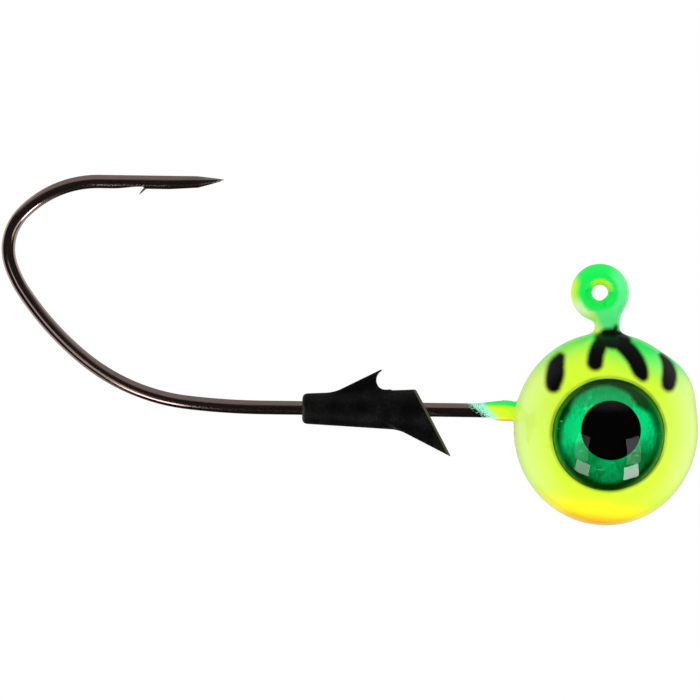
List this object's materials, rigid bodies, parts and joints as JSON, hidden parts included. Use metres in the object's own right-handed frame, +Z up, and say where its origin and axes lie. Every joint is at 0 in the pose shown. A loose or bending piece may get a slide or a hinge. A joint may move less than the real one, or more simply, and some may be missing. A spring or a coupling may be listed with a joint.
{
  "type": "jig head",
  "caption": "Painted ball jig head with domed eyes, a cast-in bent-wire hook and line eye, and a sliding barbed bait keeper.",
  "frame": {"origin": "middle of the line eye's hole", "axes": "+X forward along the hook's shank, from the bend to the ball's nose; +Z up, towards the hook point; +Y across, along the line eye's hole"},
  "size_m": [0.05, 0.0142, 0.0246],
  "materials": {
    "lead": "dull grey cast lead alloy",
    "head_paint": "gloss fluorescent chartreuse, green on top and orange below",
    "ring_paint": "gloss fluorescent green",
    "hook_wire": "bright black nickel plate",
    "keeper_plastic": "satin black moulded plastic",
    "eye_pad": "white foam adhesive",
    "eye_foil": "green holographic foil",
    "eye_pupil": "black print",
    "eye_lens": "clear poured resin dome"
  },
  "bodies": {
    "jig": {"head_casting": "lead", "head_paint": "head_paint", "ring_paint": "ring_paint", "hook": "hook_wire", "eye_pad_left": "eye_pad", "eye_foil_left": "eye_foil", "eye_pupil_left": "eye_pupil", "eye_lens_left": "eye_lens", "eye_pad_right": "eye_pad", "eye_foil_right": "eye_foil", "eye_pupil_right": "eye_pupil", "eye_lens_right": "eye_lens"},
    "keeper": {"bait_keeper": "keeper_plastic"}
  },
  "joints": [
    {"name": "keeper_slide", "type": "slide", "parent": "jig", "child": "keeper", "axis": [1, 0, 0], "range_m": [-0.0025, 0.0035]}
  ]
}
